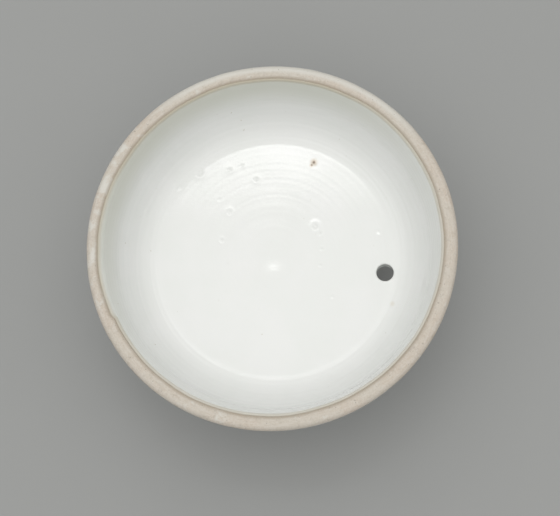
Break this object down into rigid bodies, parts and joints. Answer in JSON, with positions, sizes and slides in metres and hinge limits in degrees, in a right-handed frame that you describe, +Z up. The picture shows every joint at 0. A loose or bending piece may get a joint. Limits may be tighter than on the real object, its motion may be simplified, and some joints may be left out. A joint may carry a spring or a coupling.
{
  "type": "vented pot cover",
  "caption": "Small round porcelain pot cover with a bare clay rim, a vent hole and a button knob, lying upside down with its glazed hollow up.",
  "frame": {"origin": "middle of the knob's flat end, on the surface that the cover lies on", "axes": "+Z up out of the open mouth, along the cover's axis; +X from the axis towards the vent hole"},
  "size_m": [0.0794, 0.0794, 0.0333],
  "materials": {
    "biscuit": "matte",
    "slip": "matte",
    "glaze": "gloss"
  },
  "bodies": {
    "root": {"cap": "biscuit", "knob": "biscuit", "luting_slip": "slip", "inside_glaze": "glaze", "outside_glaze": "glaze", "knob_glaze": "glaze", "vent_glaze": "glaze"}
  },
  "joints": []
}
